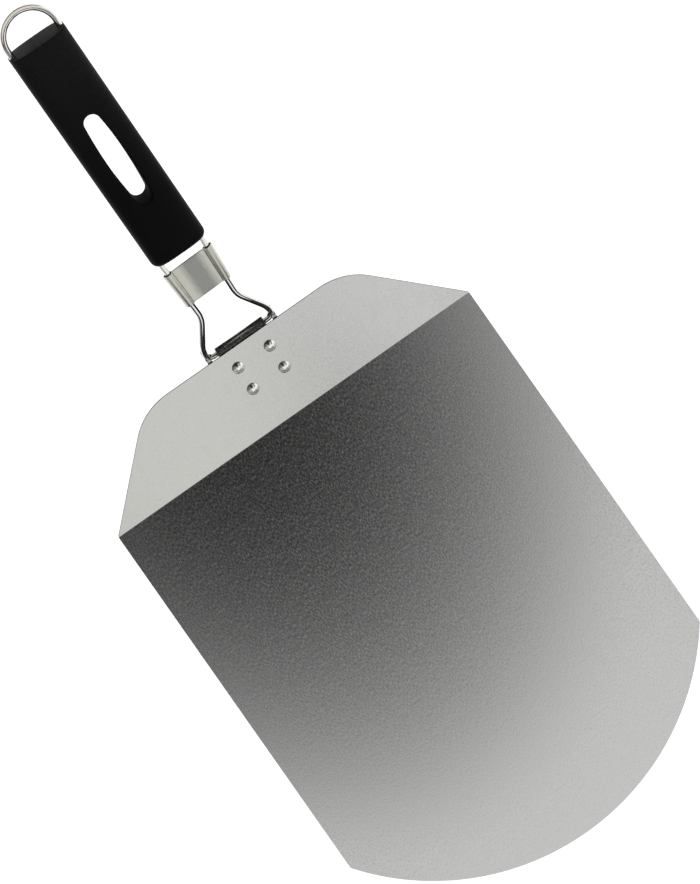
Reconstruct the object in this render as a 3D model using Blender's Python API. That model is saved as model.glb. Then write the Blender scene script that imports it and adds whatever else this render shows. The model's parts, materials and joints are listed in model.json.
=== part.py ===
"""Folding pizza peel: a sheet-steel blade with its heel folded up, and a wire handle on it.

A bracket riveted under the heel holds the wire handle's two ends, so the handle folds up
and over the blade. A sheet sleeve slides along the wire's two legs, and a moulded grip
fills the space between the sleeve and the hanging loop.

The model is in metres with +Z up and +Y towards the blade's front edge. Its origin lies on
the blade's underside, on the centre line, halfway between the fold and the front edge.
"""

from math import asin, atan2, copysign, cos, pi, radians, sin, sqrt, tan

import bmesh
import bpy
from mathutils import Matrix, Vector

MM = 0.001
GAP = 0.3 * MM  # left between pieces that touch each other on the real peel

# Blade and heel: one steel sheet, folded across its width
SHEET = 1.0 * MM
BLADE_WIDTH = 254.0 * MM
BLADE_LENGTH = 303.0 * MM  # fold line to the middle of the curved front edge
SIDE_LENGTH = 239.4 * MM  # fold line to the front corners
FRONT_ARC_PIECES = 48
BLADE_CORNER_RADIUS = 2.0 * MM
BEND_RADIUS = 1.5 * MM  # inside the fold
BEND_PIECES = 4
TILT = radians(28)  # heel and handle, above the blade's plane
HEEL_DEPTH = 58.3 * MM
HEEL_WIDTH = 142.3 * MM  # at the heel's edge, before its corners are rounded
HEEL_CORNER_RADIUS = 40.0 * MM

# Hinge: the handle's axis runs along the heel's edge
AXIS_OVERHANG = 3.45 * MM  # past the heel's edge
AXIS_HEIGHT = 1.0 * MM  # above the heel's top face

# Wire handle, bent from one rod. "along" is the distance from the hinge axis.
WIRE_RADIUS = 1.8 * MM
WIRE_SIDES = 12
STUB_END = 8.5 * MM  # inner end of each hinge stub, from the centre line
STUB_BEND_RADIUS = 4.2 * MM
LEG_HALF_SPACING = 23.05 * MM  # at the hinge
SPLAY_START = 6.2 * MM  # along
SPLAY_START_RADIUS = 19.0 * MM
WAIST_HALF_SPACING = 12.3 * MM
WAIST_ALONG = 24.1 * MM
WAIST_RADIUS = 15.0 * MM
GRIP_ENTRY_HALF_SPACING = 14.2 * MM
GRIP_ENTRY_ALONG = 70.0 * MM
GRIP_ENTRY_RADIUS = 60.0 * MM
LOOP_RADIUS = 15.75 * MM  # of the wire's centre line
LOOP_ALONG = 218.85 * MM  # centre of the hanging loop
LOOP_PIECES = 24

# Grip
GRIP_START = 66.8 * MM  # along
GRIP_END = 215.2 * MM  # along
GRIP_WIDTH = 36.2 * MM
GRIP_THICKNESS = 20.0 * MM
GRIP_SQUARENESS = 3.6  # exponent of the section: 2 is an ellipse
GRIP_SECTION_POINTS = 40
GRIP_NOSE_RADIUS = 4.8 * MM
GRIP_NOSE_PIECES = 5
GRIP_RIM_RADIUS = 0.8 * MM
GRIP_END_RAKE = radians(3)  # the end face leans towards the blade at its top
SLOT_START = 104.9 * MM  # along
SLOT_END = 166.6 * MM  # along
SLOT_WIDTH = 12.5 * MM  # halfway along
SLOT_END_WIDTH = 9.9 * MM
SLOT_SIDE_PIECES = 8
SLOT_CAP_PIECES = 8

# Lock sleeve, a flattened sheet tube with a round lobe about each leg
SLEEVE_START = 35.5 * MM  # along
SLEEVE_END = 59.1 * MM  # along
SLEEVE_SHEET = 0.55 * MM
SLEEVE_START_LOBE = 2.75 * MM  # outer radius
SLEEVE_END_LOBE = 3.15 * MM
SLEEVE_MIDDLE_HEIGHT = 0.75 * MM  # outer face of the middle panel, above the legs' plane
SLEEVE_CROWN = 0.1 * MM  # rise of the middle panel between its creases
SLEEVE_SIDE_SHIFT = 0.15 * MM  # lobes stand this much outside the legs when locked
SLEEVE_LOBE_PIECES = 14
SLEEVE_PANEL_PIECES = 6

# Hinge bracket, a pressed plate under the heel. "deep" is the distance from the fold line.
BRACKET_SHEET = 1.0 * MM
BRACKET_HALF_WIDTH = 26.0 * MM
BRACKET_START = 20.5 * MM  # deep
BRACKET_EDGE = 57.0 * MM  # deep
BRACKET_CORNER_RADIUS = 5.0 * MM
HOOK_HALF_WIDTH = 16.7 * MM
HOOK_END_ANGLE = radians(-11)  # from straight up; below zero is on the heel's side
HOOK_PIECES = 16
STOP_TAB_WIDTH = 3.2 * MM
STOP_TAB_REACH = 6.0 * MM  # under each leg, past the hinge axis
STOP_TAB_RADIUS = 1.4 * MM

# Rivets through heel and bracket
RIVET_HALF_SPACING = 11.3 * MM
RIVET_ROWS = (46.1 * MM, 29.3 * MM)  # deep
RIVET_HEAD_RADIUS = 3.75 * MM
RIVET_HEAD_HEIGHT = 1.8 * MM
RIVET_SHANK_RADIUS = 2.0 * MM
RIVET_TAIL_RADIUS = 3.2 * MM
RIVET_TAIL_HEIGHT = 1.4 * MM
RIVET_SEGMENTS = 20
RIVET_DOME_RINGS = 4
DRILL_LENGTH = 10.0 * MM  # of the rods that cut the rivets' holes

# Positions that follow from the sizes above
FOLD_LINE = Vector((0, -BLADE_LENGTH / 2, SHEET))
TILT_TURN = Matrix.Rotation(-TILT, 4, "X")
AXIS_DEEP = HEEL_DEPTH + AXIS_OVERHANG
HINGE_AXIS = FOLD_LINE + TILT_TURN.to_3x3() @ Vector((0, -AXIS_DEEP, AXIS_HEIGHT))
BRACKET_TOP = -SHEET - GAP  # measured up from the heel's top face

MATERIALS = {
    "brushed_sheet": ((0.56, 0.56, 0.54), 0.38, 1.0),
    "plated_bracket": ((0.50, 0.50, 0.50), 0.30, 1.0),
    "rivet_steel": ((0.62, 0.62, 0.60), 0.28, 1.0),
    "polished_wire": ((0.74, 0.74, 0.73), 0.12, 1.0),
    "sleeve_steel": ((0.60, 0.60, 0.55), 0.34, 1.0),
    "black_grip": ((0.012, 0.012, 0.013), 0.62, 0.0),
}


def clear_scene():
    for item in list(bpy.data.objects):
        bpy.data.objects.remove(item, do_unlink=True)


def make_material(name):
    colour, roughness, metallic = MATERIALS[name]
    material = bpy.data.materials.new(name)
    material.use_nodes = True
    shader = material.node_tree.nodes["Principled BSDF"]
    shader.inputs["Base Color"].default_value = (*colour, 1)
    shader.inputs["Roughness"].default_value = roughness
    shader.inputs["Metallic"].default_value = metallic
    return material


def add_empty(name, location):
    """An empty with the heel's tilt: its -Y runs up along the heel and the handle."""
    empty = bpy.data.objects.new(name, None)
    empty.location = location
    empty.rotation_euler = TILT_TURN.to_euler()
    bpy.context.collection.objects.link(empty)
    return empty


def add_solid(name, shape, parent=None, material=None):
    """Turn a bmesh into a named object, smooth but for its sharp edges."""
    mesh = bpy.data.meshes.new(name)
    shape.to_mesh(mesh)
    shape.free()
    mesh.shade_smooth()
    mesh.set_sharp_from_angle(angle=radians(30))
    solid = bpy.data.objects.new(name, mesh)
    solid.parent = parent
    if material:
        mesh.materials.append(make_material(material))
    bpy.context.collection.objects.link(solid)
    return solid


def combine(target, tool, operation="DIFFERENCE"):
    """Cut or join a hidden tool object into the target."""
    modifier = target.modifiers.new(tool.name, "BOOLEAN")
    modifier.operation = operation
    modifier.solver = "EXACT"
    modifier.object = tool
    tool.hide_render = True
    tool.display_type = "WIRE"


def rounded(corners, closed=True, step=radians(7.5)):
    """Points along straight runs joined by arcs. Each corner is (x, y, radius)."""
    points = []
    for index, (x, y, radius) in enumerate(corners):
        corner = Vector((x, y))
        is_loose_end = not closed and index in (0, len(corners) - 1)
        if radius == 0 or is_loose_end:
            points.append(corner)
            continue
        before = (Vector(corners[index - 1][:2]) - corner).normalized()
        after = (Vector(corners[(index + 1) % len(corners)][:2]) - corner).normalized()
        turn = pi - before.angle(after)
        centre = corner + (before + after).normalized() * radius / cos(turn / 2)
        spoke = corner + before * radius * tan(turn / 2) - centre
        way = 1 if before.x * after.y < before.y * after.x else -1
        pieces = max(2, round(turn / step))
        for piece in range(pieces + 1):
            spin = Matrix.Rotation(way * turn * piece / pieces, 2)
            points.append(centre + spin @ spoke)
    return points


def loft(rings, closed=False):
    """Join rings of equally many points. An open loft gets a flat face at each end."""
    shape = bmesh.new()
    rows = [[shape.verts.new(point) for point in ring] for ring in rings]
    pairs = list(zip(rows, rows[1:]))
    if closed:
        pairs.append((rows[-1], rows[0]))
    else:
        shape.faces.new(rows[0])
        shape.faces.new(rows[-1])
    for low, high in pairs:
        for index in range(len(low)):
            after = (index + 1) % len(low)
            shape.faces.new((low[index], low[after], high[after], high[index]))
    bmesh.ops.recalc_face_normals(shape, faces=shape.faces)
    return shape


def prism(outline, low, high):
    """Extrude an outline in the XY plane between two heights."""
    return loft([[(x, y, z) for x, y in outline] for z in (low, high)])


def tube(path, radius):
    """A round rod along a flat path of (x, along) points."""
    rings = []
    for index, point in enumerate(path):
        ahead = path[min(index + 1, len(path) - 1)] - point
        behind = point - path[max(index - 1, 0)]
        run = (ahead.normalized() + behind.normalized()).normalized()
        side = Vector((-run.y, run.x))
        ring = []
        for number in range(WIRE_SIDES):
            angle = 2 * pi * number / WIRE_SIDES
            x, along = point + side * radius * cos(angle)
            ring.append((x, -along, radius * sin(angle)))
        rings.append(ring)
    return loft(rings)


def turned(profile, segments):
    """Spin a profile of (radius, z) points about Z. It starts and ends on the axis."""
    shape = bmesh.new()
    verts = [shape.verts.new((radius, 0, z)) for radius, z in profile]
    edges = [shape.edges.new(pair) for pair in zip(verts, verts[1:])]
    bmesh.ops.spin(
        shape, geom=verts + edges, axis=(0, 0, 1), cent=(0, 0, 0), angle=2 * pi, steps=segments,
        use_merge=True,
    )
    bmesh.ops.remove_doubles(shape, verts=shape.verts, dist=0.001 * MM)
    bmesh.ops.recalc_face_normals(shape, faces=shape.faces)
    return shape


def rivet_places():
    return [(x, -deep) for deep in RIVET_ROWS for x in (-RIVET_HALF_SPACING, RIVET_HALF_SPACING)]


def sheet_outline():
    """Flat pattern of blade and heel. The fold line is y = 0 and the heel lies below it."""
    half = BLADE_WIDTH / 2
    rise = BLADE_LENGTH - SIDE_LENGTH
    front_radius = (half ** 2 + rise ** 2) / (2 * rise)
    centre_y = BLADE_LENGTH - front_radius
    half_sweep = asin(half / front_radius)
    corners = [(half, SIDE_LENGTH, BLADE_CORNER_RADIUS)]
    for piece in range(1, FRONT_ARC_PIECES):
        angle = pi / 2 + half_sweep * (2 * piece / FRONT_ARC_PIECES - 1)
        corners.append((front_radius * cos(angle), centre_y + front_radius * sin(angle), 0))
    corners += [
        (-half, SIDE_LENGTH, BLADE_CORNER_RADIUS),
        (-half, 0, BLADE_CORNER_RADIUS),
        (-HEEL_WIDTH / 2, -HEEL_DEPTH, HEEL_CORNER_RADIUS),
        (HEEL_WIDTH / 2, -HEEL_DEPTH, HEEL_CORNER_RADIUS),
        (half, 0, BLADE_CORNER_RADIUS),
    ]
    return rounded(corners)


def fold_up(point):
    """Bend a point of the flat pattern about the fold line, on the sheet's top face."""
    reach = BEND_RADIUS * tan(TILT / 2)
    if point.y >= reach:
        return point
    if point.y <= -reach:
        return Vector((point.x, point.y * cos(TILT), -point.y * sin(TILT)))
    turn = TILT * (reach - point.y) / (2 * reach)
    return Vector((point.x, reach - BEND_RADIUS * sin(turn), BEND_RADIUS * (1 - cos(turn))))


def make_blade(heel):
    shape = bmesh.new()
    shape.faces.new([shape.verts.new((x, y, 0)) for x, y in sheet_outline()])
    reach = BEND_RADIUS * tan(TILT / 2)
    for line in range(BEND_PIECES + 1):
        place = reach * (2 * line / BEND_PIECES - 1)
        everything = shape.verts[:] + shape.edges[:] + shape.faces[:]
        bmesh.ops.bisect_plane(
            shape, geom=everything, dist=0.001 * MM, plane_co=(0, place, 0), plane_no=(0, 1, 0)
        )
    for vert in shape.verts:
        vert.co = fold_up(vert.co) + FOLD_LINE
    blade = add_solid("blade", shape, material="brushed_sheet")
    thickness = blade.modifiers.new("thickness", "SOLIDIFY")
    thickness.thickness = SHEET
    thickness.offset = -1
    thickness.use_even_offset = True
    combine(blade, make_rivet_drill("blade_drill", heel))


def make_rivet_drill(name, heel):
    """Four rods that cut the rivets' holes."""
    shape = bmesh.new()
    for x, y in rivet_places():
        bmesh.ops.create_cone(
            shape, cap_ends=True, segments=RIVET_SEGMENTS, depth=DRILL_LENGTH,
            radius1=RIVET_SHANK_RADIUS + GAP, radius2=RIVET_SHANK_RADIUS + GAP,
            matrix=Matrix.Translation((x, y, 0)),
        )
    return add_solid(name, shape, heel)


def bracket_outline():
    """Plate under the heel, with a stop tab for each leg and a tongue that carries the hook."""
    tab = STOP_TAB_WIDTH / 2
    tab_end = -AXIS_DEEP - STOP_TAB_REACH
    right_side = [
        (BRACKET_HALF_WIDTH, -BRACKET_START, BRACKET_CORNER_RADIUS),
        (BRACKET_HALF_WIDTH, -BRACKET_EDGE, STOP_TAB_RADIUS),
        (LEG_HALF_SPACING + tab, -BRACKET_EDGE, 0),
        (LEG_HALF_SPACING + tab, tab_end, STOP_TAB_RADIUS),
        (LEG_HALF_SPACING - tab, tab_end, STOP_TAB_RADIUS),
        (LEG_HALF_SPACING - tab, -BRACKET_EDGE, STOP_TAB_RADIUS),
        (HOOK_HALF_WIDTH, -BRACKET_EDGE, STOP_TAB_RADIUS),
        (HOOK_HALF_WIDTH, -AXIS_DEEP, 0),
    ]
    left_side = [(-x, y, radius) for x, y, radius in reversed(right_side)]
    return rounded(right_side + left_side, step=radians(15))


def hook_profile():
    """Side view of the hook: from the tongue's end round the hinge stubs, as (y, z)."""
    inner = AXIS_HEIGHT - BRACKET_TOP
    outer = inner + BRACKET_SHEET
    centre = Vector((-AXIS_DEEP, AXIS_HEIGHT))
    angles = [
        pi + (HOOK_END_ANGLE - pi) * piece / HOOK_PIECES for piece in range(HOOK_PIECES + 1)
    ]
    spokes = [Vector((-sin(angle), cos(angle))) for angle in angles]
    tail = Vector((BRACKET_SHEET, 0))
    inside = [centre + tail + spokes[0] * inner] + [centre + spoke * inner for spoke in spokes]
    outside = [centre + tail + spokes[0] * outer] + [centre + spoke * outer for spoke in spokes]
    return outside + inside[::-1]


def make_bracket(heel):
    plate = prism(bracket_outline(), BRACKET_TOP - BRACKET_SHEET, BRACKET_TOP)
    bracket = add_solid("hinge_bracket", plate, heel, "plated_bracket")
    sides = (-HOOK_HALF_WIDTH, HOOK_HALF_WIDTH)
    hook = loft([[(x, y, z) for y, z in hook_profile()] for x in sides])
    combine(bracket, add_solid("hook", hook, heel), "UNION")
    combine(bracket, make_rivet_drill("bracket_drill", heel))


def make_rivets(heel):
    """Domed heads on the heel's top face and flat tails under the bracket."""
    head_base = GAP
    tail_top = BRACKET_TOP - BRACKET_SHEET - GAP
    tail_end = tail_top - RIVET_TAIL_HEIGHT
    dome = []
    for ring in range(RIVET_DOME_RINGS + 1):
        angle = pi / 2 * (1 - ring / RIVET_DOME_RINGS)
        dome.append((RIVET_HEAD_RADIUS * cos(angle), head_base + RIVET_HEAD_HEIGHT * sin(angle)))
    shank_and_tail = [
        (RIVET_SHANK_RADIUS, head_base),
        (RIVET_SHANK_RADIUS, tail_top),
        (RIVET_TAIL_RADIUS, tail_top),
        (RIVET_TAIL_RADIUS - GAP, tail_end),
        (0, tail_end),
    ]
    for number, (x, y) in enumerate(rivet_places(), start=1):
        shape = turned(dome + shank_and_tail, RIVET_SEGMENTS)
        rivet = add_solid(f"rivet_{number}", shape, heel, "rivet_steel")
        rivet.location = (x, y, 0)


def leg_path():
    """Centre line of the right leg, from its hinge stub to the hanging loop: (x, along)."""
    return rounded(
        [
            (STUB_END, 0, 0),
            (LEG_HALF_SPACING, 0, STUB_BEND_RADIUS),
            (LEG_HALF_SPACING, SPLAY_START, SPLAY_START_RADIUS),
            (WAIST_HALF_SPACING, WAIST_ALONG, WAIST_RADIUS),
            (GRIP_ENTRY_HALF_SPACING, GRIP_ENTRY_ALONG, GRIP_ENTRY_RADIUS),
            (LOOP_RADIUS, LOOP_ALONG, 0),
        ],
        closed=False,
    )


def leg_spacing(along):
    """Half of the distance between the legs, where the sleeve slides on them."""
    share = (along - WAIST_ALONG) / (GRIP_ENTRY_ALONG - WAIST_ALONG)
    return WAIST_HALF_SPACING + share * (GRIP_ENTRY_HALF_SPACING - WAIST_HALF_SPACING)


def make_wire_frame(hinge):
    right = leg_path()
    loop = []
    for piece in range(1, LOOP_PIECES):
        angle = pi * piece / LOOP_PIECES
        loop.append(Vector((LOOP_RADIUS * cos(angle), LOOP_ALONG + LOOP_RADIUS * sin(angle))))
    left = [Vector((-point.x, point.y)) for point in reversed(right)]
    add_solid("wire_frame", tube(right + loop + left, WIRE_RADIUS), hinge, "polished_wire")


def grip_ring(inset, along, rake=0):
    """One section of the grip: a squarish ellipse, pulled in all round by the inset."""
    ring = []
    for number in range(GRIP_SECTION_POINTS):
        angle = 2 * pi * (number + 0.5) / GRIP_SECTION_POINTS
        across = copysign(abs(cos(angle)) ** (2 / GRIP_SQUARENESS), cos(angle))
        up = copysign(abs(sin(angle)) ** (2 / GRIP_SQUARENESS), sin(angle))
        z = up * (GRIP_THICKNESS / 2 - inset)
        ring.append((across * (GRIP_WIDTH / 2 - inset), z * tan(rake) - along, z))
    return ring


def slot_outline():
    """The grip's finger slot: gently bowed sides and round ends."""
    end_radius = SLOT_END_WIDTH / 2
    bow = (SLOT_WIDTH - SLOT_END_WIDTH) / 2
    middle = (SLOT_START + SLOT_END) / 2
    half_side = (SLOT_END - SLOT_START) / 2 - end_radius
    right = []
    for piece in range(SLOT_SIDE_PIECES + 1):
        share = 2 * piece / SLOT_SIDE_PIECES - 1
        right.append((end_radius + bow * (1 - share ** 2), -middle + half_side * share))
    cap = []
    for piece in range(1, SLOT_CAP_PIECES):
        angle = pi * piece / SLOT_CAP_PIECES
        cap.append((end_radius * cos(angle), -middle + half_side + end_radius * sin(angle)))
    half_outline = right + cap
    return half_outline + [(-x, -2 * middle - y) for x, y in half_outline]


def make_grip(hinge):
    rings = []
    for piece in range(GRIP_NOSE_PIECES + 1):
        angle = pi / 2 * piece / GRIP_NOSE_PIECES
        inset = GRIP_NOSE_RADIUS * (1 - sin(angle))
        rings.append(grip_ring(inset, GRIP_START + GRIP_NOSE_RADIUS * (1 - cos(angle))))
    rings.append(grip_ring(0, GRIP_END - GRIP_RIM_RADIUS, GRIP_END_RAKE))
    rings.append(grip_ring(GRIP_RIM_RADIUS, GRIP_END, GRIP_END_RAKE))
    grip = add_solid("grip", loft(rings), hinge, "black_grip")
    slot = prism(slot_outline(), -GRIP_THICKNESS, GRIP_THICKNESS)
    combine(grip, add_solid("slot", slot, hinge))
    right = [point for point in leg_path() if point.y > WAIST_ALONG]
    left = [Vector((-point.x, point.y)) for point in right]
    for name, path in (("right_bore", right), ("left_bore", left)):
        combine(grip, add_solid(name, tube(path, WIRE_RADIUS + GAP), hinge))


def sleeve_outline(spacing, lobe, middle):
    """A dog-bone: a round lobe about each leg, joined by two slightly crowned panels."""
    crease = sqrt(lobe ** 2 - middle ** 2)
    open_angle = atan2(middle, -crease)
    right = []
    for piece in range(SLEEVE_LOBE_PIECES + 1):
        angle = open_angle * (2 * piece / SLEEVE_LOBE_PIECES - 1)
        right.append((spacing + lobe * cos(angle), lobe * sin(angle)))
    half_panel = spacing - crease
    for piece in range(1, SLEEVE_PANEL_PIECES):
        share = 1 - 2 * piece / SLEEVE_PANEL_PIECES
        right.append((half_panel * share, middle + SLEEVE_CROWN * (1 - share ** 2)))
    return right + [(-x, -z) for x, z in right]


def make_sleeve(hinge):
    rings = []
    ends = ((SLEEVE_START, SLEEVE_START_LOBE), (SLEEVE_END, SLEEVE_END_LOBE))
    for along, lobe in ends:
        spacing = leg_spacing(along) + SLEEVE_SIDE_SHIFT
        for inset in (0, SLEEVE_SHEET):
            outline = sleeve_outline(spacing, lobe - inset, SLEEVE_MIDDLE_HEIGHT - inset)
            rings.append([(x, -along, z) for x, z in outline])
    outer_start, inner_start, outer_end, inner_end = rings
    shape = loft([outer_start, outer_end, inner_end, inner_start], closed=True)
    add_solid("lock_sleeve", shape, hinge, "sleeve_steel")


def main():
    clear_scene()
    heel = add_empty("heel", FOLD_LINE)
    hinge = add_empty("hinge_axis", HINGE_AXIS)
    make_blade(heel)
    make_bracket(heel)
    make_rivets(heel)
    make_wire_frame(hinge)
    make_grip(hinge)
    make_sleeve(hinge)


main()
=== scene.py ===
"""Looks of the folding pizza peel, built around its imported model.

Each piece is modelled again in fine detail where the model says it is, gets a procedural
material, and rides on the body that it belongs to. Lengths are in metres, +Z is up, and
the handle's own pieces are built in a tilted frame whose -Y runs out along the handle.
"""

import json
from math import asin, atan2, copysign, cos, pi, radians, sin, sqrt, tan

import bmesh
import bpy
from mathutils import Matrix, Quaternion, Vector


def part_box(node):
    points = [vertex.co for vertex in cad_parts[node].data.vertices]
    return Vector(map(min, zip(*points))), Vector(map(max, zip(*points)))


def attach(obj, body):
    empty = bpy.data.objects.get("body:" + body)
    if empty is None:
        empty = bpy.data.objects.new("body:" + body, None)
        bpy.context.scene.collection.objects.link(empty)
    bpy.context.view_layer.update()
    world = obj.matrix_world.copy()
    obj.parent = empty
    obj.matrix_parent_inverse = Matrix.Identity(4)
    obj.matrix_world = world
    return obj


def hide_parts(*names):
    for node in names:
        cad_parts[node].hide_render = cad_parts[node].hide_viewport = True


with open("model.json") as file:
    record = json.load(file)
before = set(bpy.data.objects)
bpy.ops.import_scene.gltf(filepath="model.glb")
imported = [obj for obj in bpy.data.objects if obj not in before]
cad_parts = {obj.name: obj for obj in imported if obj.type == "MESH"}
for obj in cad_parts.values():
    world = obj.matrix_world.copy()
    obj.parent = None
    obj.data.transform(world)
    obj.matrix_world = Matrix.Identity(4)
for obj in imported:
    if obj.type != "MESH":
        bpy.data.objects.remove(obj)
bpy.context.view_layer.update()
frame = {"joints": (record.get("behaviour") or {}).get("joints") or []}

MM = 0.001
ARC_STEP = radians(3)
MERGE_DISTANCE = 0.001 * MM
CUT_TOLERANCE = 0.0005 * MM
BEVEL_ANGLE = radians(50)  # an edge that turns more than this is broken

# Where the model puts things
JOINTS = {joint["name"]: joint for joint in frame["joints"]}
HINGE_AXIS = Vector(JOINTS["handle_fold"]["pos_m"])
ARM = Vector(JOINTS["sleeve_slide"]["axis"])
TILT = atan2(ARM.z, -ARM.y)
TILT_TURN = Matrix.Rotation(-TILT, 4, "X")
BLADE_LOW, BLADE_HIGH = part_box("blade")

# Blade and heel
SHEET = 1.0 * MM
BLADE_WIDTH = BLADE_HIGH.x - BLADE_LOW.x
BLADE_LENGTH = 2 * BLADE_HIGH.y
SIDE_LENGTH = 239.4 * MM  # fold line to the front corners
BLADE_CORNER_RADIUS = 2.0 * MM
BLADE_BEVEL = 0.08 * MM
BEND_RADIUS = 1.5 * MM
BEND_PIECES = 12
HEEL_DEPTH = 58.3 * MM
HEEL_WIDTH = 142.3 * MM
HEEL_CORNER_RADIUS = 40.0 * MM
FRONT_ARC_PIECES = 144
FOLD_LINE = Vector((0, -BLADE_LENGTH / 2, SHEET))

# Hinge, in the heel's frame: y is the distance up the heel, z is above its top face
AXIS_OVERHANG = 3.45 * MM
AXIS_HEIGHT = 1.0 * MM
AXIS_DEEP = HEEL_DEPTH + AXIS_OVERHANG

# Wire handle
WIRE_RADIUS = 1.8 * MM
WIRE_SIDES = 40
WIRE_END_CHAMFER = 0.3 * MM
WIRE_SHARP_ANGLE = radians(40)
STUB_END = 8.5 * MM
STUB_BEND_RADIUS = 4.2 * MM
LEG_HALF_SPACING = 23.05 * MM
SPLAY_START = 6.2 * MM
SPLAY_START_RADIUS = 19.0 * MM
WAIST_HALF_SPACING = 12.3 * MM
WAIST_ALONG = 24.1 * MM
WAIST_RADIUS = 15.0 * MM
GRIP_ENTRY_HALF_SPACING = 14.2 * MM
GRIP_ENTRY_ALONG = 70.0 * MM
GRIP_ENTRY_RADIUS = 60.0 * MM
LOOP_RADIUS = 15.75 * MM
LOOP_ALONG = 218.85 * MM
LOOP_PIECES = 72

# Grip
GRIP_START = 66.8 * MM
GRIP_END = 215.2 * MM
GRIP_WIDTH = 36.2 * MM
GRIP_THICKNESS = 20.0 * MM
GRIP_SQUARENESS = 3.6
GRIP_SECTION_POINTS = 160
GRIP_NOSE_RADIUS = 4.8 * MM
GRIP_NOSE_PIECES = 12
GRIP_RIM_RADIUS = 0.8 * MM
GRIP_RIM_PIECES = 5
GRIP_END_RAKE = radians(3)
GRIP_SHARP_ANGLE = radians(35)
SLOT_START = 104.9 * MM
SLOT_END = 166.6 * MM
SLOT_WIDTH = 12.5 * MM
SLOT_END_WIDTH = 9.9 * MM
SLOT_SIDE_PIECES = 40
SLOT_CAP_PIECES = 40
SLOT_RIM_RADIUS = 1.2 * MM
SLOT_RIM_PIECES = 10
SLOT_MOUTH_FLARE = 1.6 * SLOT_RIM_RADIUS  # outside the grip, so that the cut comes out clean
SLOT_MOUTH_STEP = 0.05 * MM
SLOT_WALL_STEEPNESS = 0.6
BORE_CLEARANCE = 0.12 * MM
BORE_SIDES = 32

# Lock sleeve
SLEEVE_START = 35.5 * MM
SLEEVE_END = 59.1 * MM
SLEEVE_SHEET = 0.55 * MM
SLEEVE_START_LOBE = 2.75 * MM
SLEEVE_END_LOBE = 3.15 * MM
SLEEVE_MIDDLE_HEIGHT = 0.75 * MM
SLEEVE_CROWN = 0.1 * MM
SLEEVE_SIDE_SHIFT = 0.15 * MM
SLEEVE_SLANT = tan(radians(1.5))  # the sleeve sits slightly askew on the legs
SLEEVE_LOBE_PIECES = 40
SLEEVE_PANEL_PIECES = 24
SLEEVE_ROWS = 12
SLEEVE_BEVEL = 0.12 * MM

# Hinge bracket
BRACKET_SHEET = 1.0 * MM
BRACKET_GAP = 0.3 * MM
BRACKET_HALF_WIDTH = 26.0 * MM
BRACKET_START = 20.5 * MM
BRACKET_EDGE = 57.0 * MM
BRACKET_CORNER_RADIUS = 5.0 * MM
BRACKET_ARC_STEP = radians(10)
BRACKET_BEVEL = 0.15 * MM
HOOK_HALF_WIDTH = 16.7 * MM
HOOK_END_ANGLE = radians(-11)
HOOK_PIECES = 36
HOOK_MARGIN = 0.01 * MM
STOP_TAB_WIDTH = 3.2 * MM
STOP_TAB_REACH = 6.0 * MM
STOP_TAB_RADIUS = 1.4 * MM

# Rivets
RIVET_HALF_SPACING = 11.3 * MM
RIVET_ROWS = (46.1 * MM, 29.3 * MM)
RIVET_HEAD_RADIUS = 3.75 * MM
RIVET_HEAD_HEIGHT = 1.8 * MM
RIVET_HEAD_RINGS = 14
RIVET_LIP_HEIGHT = 0.35 * MM
RIVET_LIP_CHAMFER = 0.1 * MM
RIVET_SHANK_RADIUS = 2.0 * MM
RIVET_TAIL_RADIUS = 3.2 * MM
RIVET_TAIL_HEIGHT = 1.4 * MM
RIVET_TAIL_SHOULDER = (0.2 * MM, 0.3 * MM)  # inwards and down
RIVET_TAIL_CHAMFER = 0.4 * MM
RIVET_SEGMENTS = 64
RIVET_SHARP_ANGLE = radians(50)

# Camera, looking almost straight down
CAMERA_PLACE = Vector((18.3, -121.4, 1553.5)) * MM
CAMERA_AIM = Vector((-17.8, -119.0, 0)) * MM
CAMERA_ROLL = radians(58.75)
CAMERA_LENS = 106.5  # mm
CAMERA_SENSOR = 36  # mm

# Finishes. A scale is how fine a noise is along X, Y and Z, so a low one draws long streaks.
# A pair of roughnesses is the lowest and the highest, and a relief is the depth of the bump.
NOISE_LOW = 0.3  # the noise's values mostly lie between these two
NOISE_HIGH = 0.7
SATIN_ROUGHNESS = 0.222
SATIN_PATCHINESS = 0.012
SATIN_SPREAD = 0.125
SATIN_RELIEF = 0.03 * MM
SATIN_DARK = (0.51, 0.51, 0.505)
SATIN_LIGHT = (0.55, 0.55, 0.545)
SPECKLE_SCALE = (1200, 560, 1200)
MOTTLE_SCALE = (160, 90, 160)
BLADE_GRAIN = 1.0  # how strong the speckle is
HEEL_GRAIN = 0.5
CUT_EDGE_SCALE = (900, 900, 300)
# Painted shade: the cut edge is painted nearly black for the dark line along the sheet's rim.
CUT_EDGE_SHADE_DARK = (0.015, 0.015, 0.015)
CUT_EDGE_SHADE_LIGHT = (0.05, 0.05, 0.05)
CUT_EDGE_ROUGHNESS = 0.5
PLATED_SCALE = (900, 500, 900)
PLATED_DARK = (0.30, 0.30, 0.30)
PLATED_LIGHT = (0.75, 0.75, 0.74)
PLATED_ROUGHNESS = (0.18, 0.3)
PLATED_RELIEF = 0.012 * MM
RIVET_SCALE = (1800, 1800, 600)
RIVET_DARK = (0.74, 0.74, 0.71)
RIVET_LIGHT = (0.86, 0.86, 0.83)
RIVET_ROUGHNESS = (0.11, 0.17)
RIVET_RELIEF = 0.003 * MM
DRAWN_LINE_SCALE = (2600, 60, 2600)
SMEAR_SCALE = (90, 60, 90)
WIRE_DARK = (0.70, 0.70, 0.69)
WIRE_LIGHT = (0.80, 0.80, 0.79)
WIRE_ROUGHNESS = (0.07, 0.13)
WIRE_RELIEF = 0.0015 * MM
BRUSHING_SCALE = (1600, 260, 1600)
SLEEVE_DARK = (0.30, 0.30, 0.285)
SLEEVE_LIGHT = (0.60, 0.60, 0.54)
SLEEVE_ROUGHNESS = 0.34
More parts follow.
